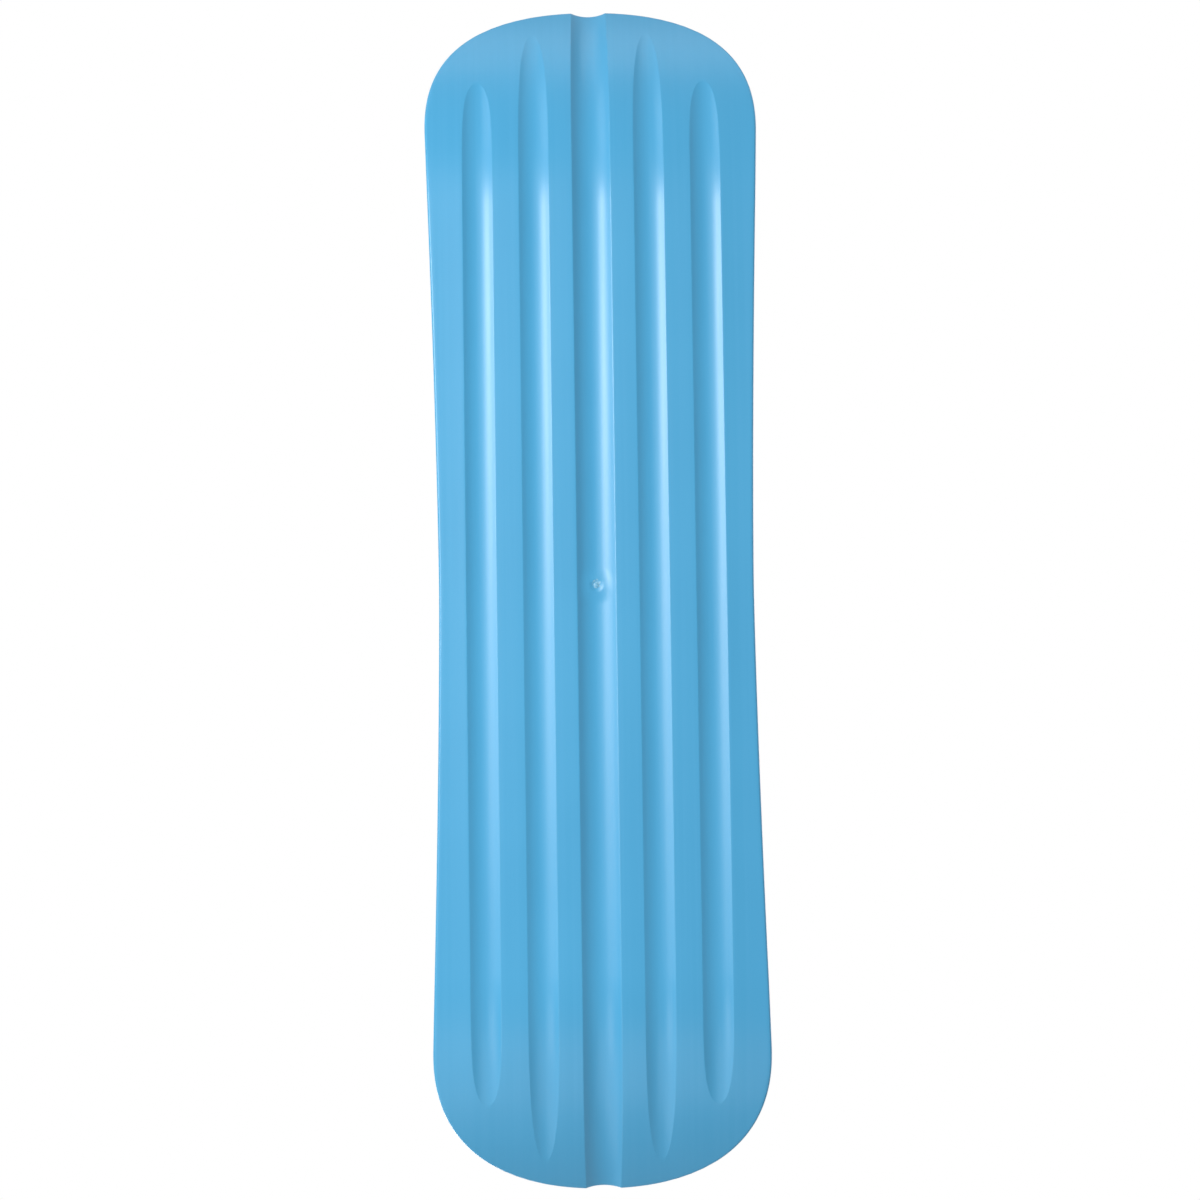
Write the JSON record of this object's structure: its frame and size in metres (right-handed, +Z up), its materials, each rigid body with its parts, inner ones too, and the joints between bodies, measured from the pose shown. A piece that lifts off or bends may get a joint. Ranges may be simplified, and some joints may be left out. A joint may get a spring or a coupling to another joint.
{
  "type": "snowskate",
  "caption": "One-piece moulded plastic snowskate with lengthwise base channels, upturned nose and tail, and foam grip strips on top.",
  "frame": {"origin": "bottom centre of the bounding box: on the ground plane, under the middle of the deck", "axes": "+Y to the nose, +X to the right of a rider who looks at the nose, +Z up out of the top; the base lands lie on z = 0"},
  "size_m": [0.1994, 0.7132, 0.0535],
  "materials": {
    "deck_plastic": "semi-gloss moulded polyethylene, light blue",
    "grip_foam": "matt closed-cell foam with a fine grain, dark grey"
  },
  "bodies": {
    "root": {"deck": "deck_plastic", "grip_front_left_inner": "grip_foam", "grip_front_left_middle": "grip_foam", "grip_front_left_outer": "grip_foam", "grip_front_right_inner": "grip_foam", "grip_front_right_middle": "grip_foam", "grip_front_right_outer": "grip_foam", "grip_rear_left_inner": "grip_foam", "grip_rear_left_middle": "grip_foam", "grip_rear_left_outer": "grip_foam", "grip_rear_right_inner": "grip_foam", "grip_rear_right_middle": "grip_foam", "grip_rear_right_outer": "grip_foam"}
  },
  "joints": []
}
